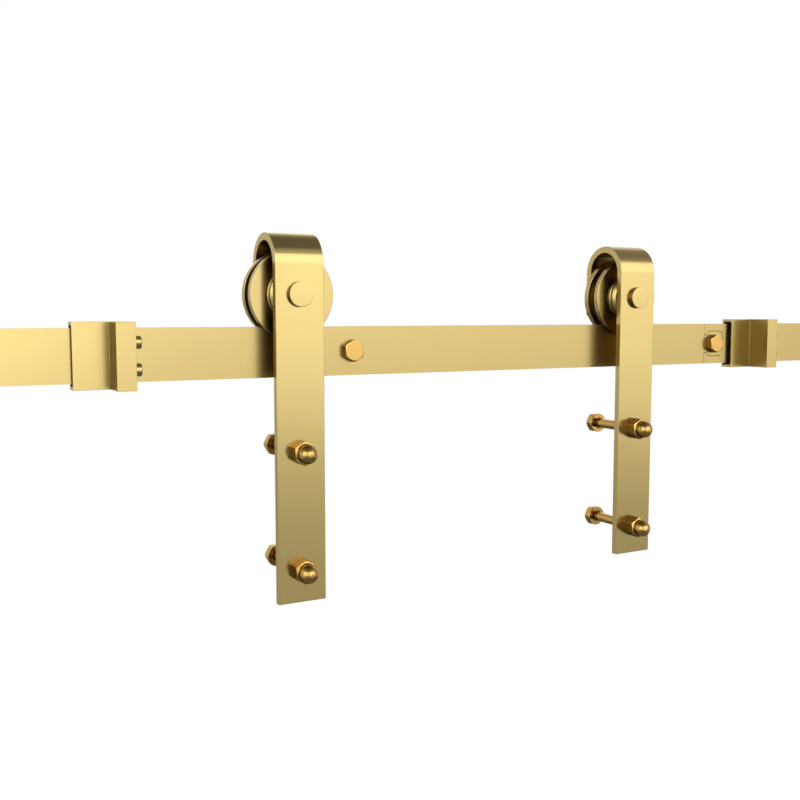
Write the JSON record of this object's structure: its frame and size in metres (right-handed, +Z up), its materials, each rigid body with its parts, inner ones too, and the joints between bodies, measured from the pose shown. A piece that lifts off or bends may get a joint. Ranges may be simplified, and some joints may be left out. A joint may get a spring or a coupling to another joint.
{
  "type": "sliding barn door hardware",
  "caption": "Sliding barn door hardware: flat wall rail in two interlocking lengths, strap hangers with grooved ball-bearing wheels, door bolts and clamped end stops.",
  "frame": {"origin": "on the wall's face, on the axis of the middle rail screw", "axes": "+X along the rail to the right as seen from the room, +Y into the wall, +Z up"},
  "size_m": [2, 0.1435, 0.2903],
  "materials": {
    "rail_gold": "satin champagne gold, slightly glossy, smooth",
    "strap_gold": "satin champagne gold, slightly glossy, smooth",
    "stop_gold": "satin champagne gold, slightly glossy, smooth",
    "spacer_gold": "satin champagne gold",
    "wheel_gold": "turned, satin champagne gold",
    "axle_gold": "satin champagne gold",
    "copper_gold": "glossy copper-gold plated fasteners",
    "zinc_steel": "bright zinc plated",
    "bearing_steel": "ground and polished bearing steel",
    "cage_brass": "pressed sheet brass",
    "liner_rubber": "matt black rubber",
    "black_steel": "black oxide steel"
  },
  "bodies": {
    "rail": {"rail_left": "rail_gold", "rail_right": "rail_gold", "wall_screws": "copper_gold", "wall_spacers": "spacer_gold"},
    "hanger_left": {"strap_left": "strap_gold", "axle_bolt_left": "axle_gold", "axle_sleeve_left": "zinc_steel", "axle_washers_left": "zinc_steel", "axle_nut_left": "axle_gold", "bearing_inners_left": "bearing_steel", "door_bolts_left": "copper_gold", "door_washers_left": "copper_gold", "acorn_nuts_left": "copper_gold"},
    "wheel_left": {"wheel_left": "wheel_gold", "bearing_outers_left": "bearing_steel", "bearing_shields_left": "zinc_steel"},
    "ball_set_left": {"bearing_balls_left": "bearing_steel", "bearing_cages_left": "cage_brass"},
    "stop_left": {"stop_body_left": "stop_gold", "stop_liner_left": "liner_rubber", "bumper_studs_left": "stop_gold", "clamp_screws_left": "black_steel"},
    "hanger_right": {"strap_right": "strap_gold", "axle_bolt_right": "axle_gold", "axle_sleeve_right": "zinc_steel", "axle_washers_right": "zinc_steel", "axle_nut_right": "axle_gold", "bearing_inners_right": "bearing_steel", "door_bolts_right": "copper_gold", "door_washers_right": "copper_gold", "acorn_nuts_right": "copper_gold"},
    "wheel_right": {"wheel_right": "wheel_gold", "bearing_outers_right": "bearing_steel", "bearing_shields_right": "zinc_steel"},
    "ball_set_right": {"bearing_balls_right": "bearing_steel", "bearing_cages_right": "cage_brass"},
    "stop_right": {"stop_body_right": "stop_gold", "stop_liner_right": "liner_rubber", "bumper_studs_right": "stop_gold", "clamp_screws_right": "black_steel"}
  },
  "joints": [
    {"name": "hanger_left_roll", "type": "slide", "parent": "rail", "child": "hanger_left", "axis": [1, 0, 0], "range_m": [-0.0975, 0.114]},
    {"name": "wheel_left_spin", "type": "hinge", "parent": "hanger_left", "child": "wheel_left", "pos_m": [-0.4606, -0.043, 0.045], "axis": [0, 1, 0], "continuous": true},
    {"name": "ball_set_left_spin", "type": "hinge", "parent": "hanger_left", "child": "ball_set_left", "pos_m": [-0.4606, -0.043, 0.045], "axis": [0, 1, 0], "continuous": true},
    {"name": "hanger_right_roll", "type": "slide", "parent": "rail", "child": "hanger_right", "axis": [1, 0, 0], "range_m": [-0.0975, 0.114]},
    {"name": "wheel_right_spin", "type": "hinge", "parent": "hanger_right", "child": "wheel_right", "pos_m": [-0.1211, -0.043, 0.045], "axis": [0, 1, 0], "continuous": true},
    {"name": "ball_set_right_spin", "type": "hinge", "parent": "hanger_right", "child": "ball_set_right", "pos_m": [-0.1211, -0.043, 0.045], "axis": [0, 1, 0], "continuous": true},
    {"name": "stop_left_set", "type": "slide", "parent": "rail", "child": "stop_left", "axis": [1, 0, 0], "range_m": [-0.17, 0]},
    {"name": "stop_right_set", "type": "slide", "parent": "rail", "child": "stop_right", "axis": [1, 0, 0], "range_m": [0, 0.32]}
  ],
  "couplings": [
    {"joint": "wheel_left_spin", "follows": "hanger_left_roll", "rad_per_m": 40},
    {"joint": "ball_set_left_spin", "follows": "hanger_left_roll", "rad_per_m": 24.76},
    {"joint": "wheel_right_spin", "follows": "hanger_right_roll", "rad_per_m": 40},
    {"joint": "ball_set_right_spin", "follows": "hanger_right_roll", "rad_per_m": 24.76}
  ]
}
